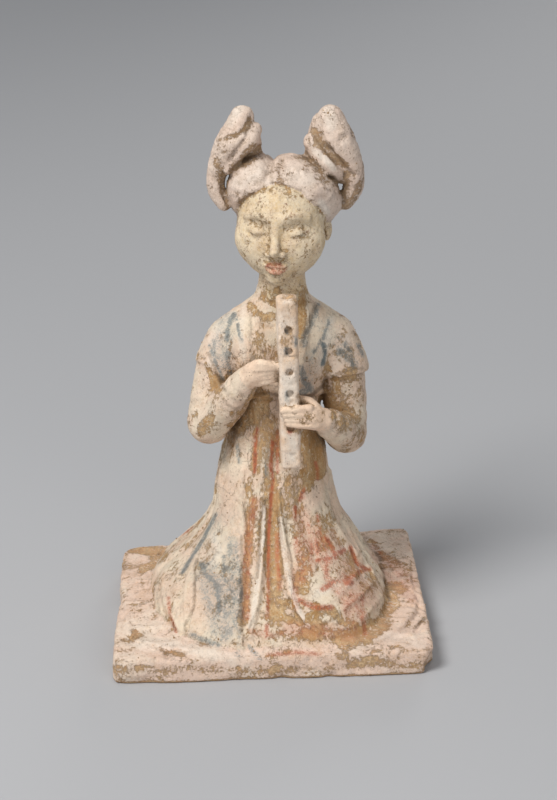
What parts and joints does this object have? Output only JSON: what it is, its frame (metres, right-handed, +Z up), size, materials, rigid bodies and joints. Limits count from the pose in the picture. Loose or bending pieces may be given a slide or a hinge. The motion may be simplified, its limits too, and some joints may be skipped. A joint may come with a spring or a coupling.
{
  "type": "tang tomb attendant figure",
  "caption": "Kneeling attendant with looped hair knots who holds an upright flute before the chest, on a thin square slab, in painted fired clay.",
  "frame": {"origin": "middle of the slab's underside, at the bottom centre of the bounding box", "axes": "+Z up through the figure, -Y the way the figure faces, +X towards the figure's left hand"},
  "size_m": [0.1492, 0.1302, 0.243],
  "materials": {
    "painted_clay": "unglazed fired clay with a worn pinkish-white slip, traces of red, blue-grey and ochre pigment, and adhered earth"
  },
  "bodies": {
    "root": {"attendant_figure": "painted_clay"}
  },
  "joints": []
}
